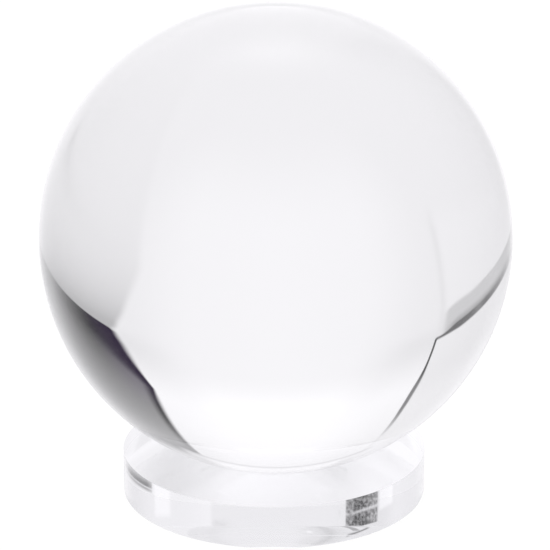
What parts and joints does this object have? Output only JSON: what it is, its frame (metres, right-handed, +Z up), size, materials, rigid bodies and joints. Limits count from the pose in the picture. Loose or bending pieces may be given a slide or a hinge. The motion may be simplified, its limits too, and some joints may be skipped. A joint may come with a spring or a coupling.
{
  "type": "crystal ball",
  "caption": "Solid clear glass ball resting in the shallow round seat of a clear disc stand, which it lifts straight off.",
  "frame": {"origin": "centre of the stand's underside, on the surface the object stands on", "axes": "+Z up through the ball's centre; the object is round about +Z, so +X and +Y are arbitrary"},
  "size_m": [0.08, 0.08, 0.0858],
  "materials": {
    "ball_crystal": "polished, fully clear, colourless",
    "stand_clear": "polished, clear, colourless, with a faint cool grey cast at the edge"
  },
  "bodies": {
    "stand": {"stand": "stand_clear"},
    "ball": {"ball": "ball_crystal"}
  },
  "joints": [
    {"name": "ball_lift", "type": "slide", "parent": "stand", "child": "ball", "axis": [0, 0, 1], "range_m": [0, 0.06]}
  ]
}
